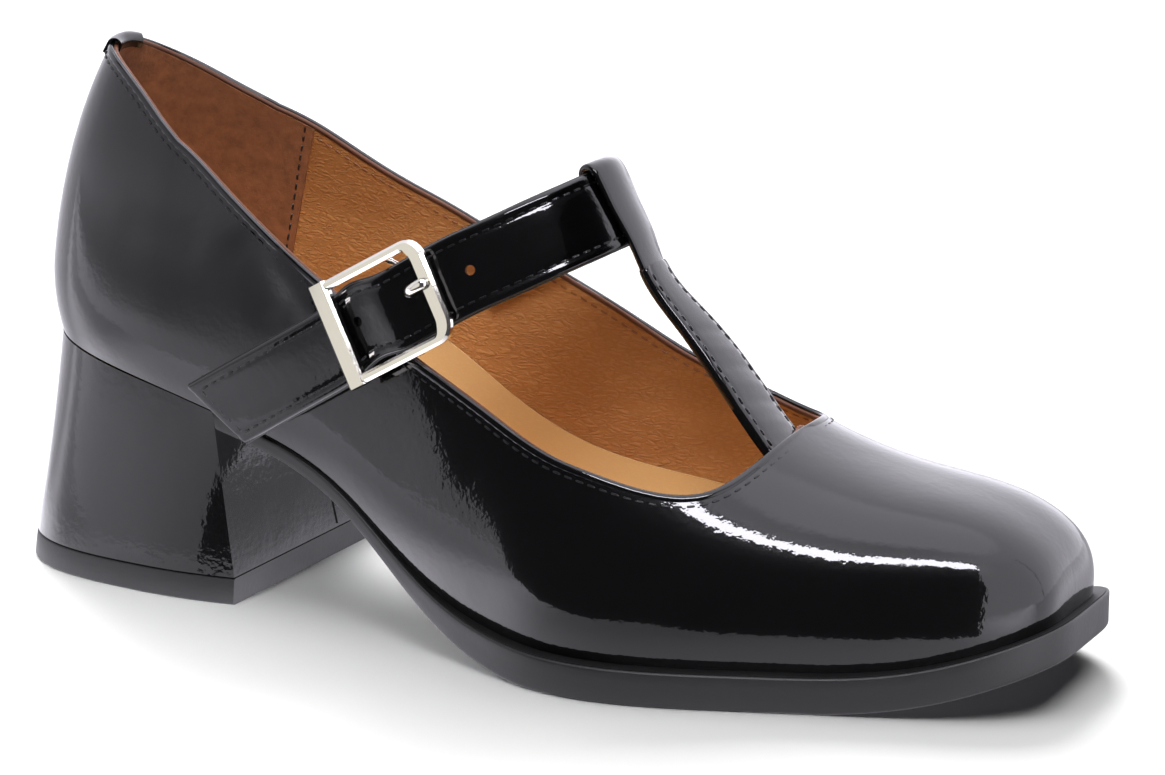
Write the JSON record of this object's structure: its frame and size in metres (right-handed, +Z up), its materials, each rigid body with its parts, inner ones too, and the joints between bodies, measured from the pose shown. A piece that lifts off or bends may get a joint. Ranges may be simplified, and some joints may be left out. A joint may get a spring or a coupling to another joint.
{
  "type": "strap shoe",
  "caption": "Women's patent leather T-bar strap shoe with a soft square toe, a buckled ankle strap, a hollow open upper and a flared block heel.",
  "frame": {"origin": "on the floor, under the middle of the shoe's box", "axes": "+X from the heel to the toe, +Y to the inner side of the foot, +Z up"},
  "size_m": [0.2532, 0.0884, 0.1198],
  "materials": {
    "patent_leather": "black patent gloss",
    "lining_leather": "tan, matte",
    "edge_rubber": "black, matte",
    "lift_rubber": "black, matte",
    "polished_nickel": "polished"
  },
  "bodies": {
    "root": {"upper": "patent_leather", "outsole": "edge_rubber", "heel": "patent_leather", "top_lift": "lift_rubber", "insole": "lining_leather", "ankle_strap": "patent_leather", "t_strap": "patent_leather", "buckle_frame": "polished_nickel", "buckle_prong": "polished_nickel", "buckle_tab": "patent_leather", "back_tab": "patent_leather"}
  },
  "joints": []
}
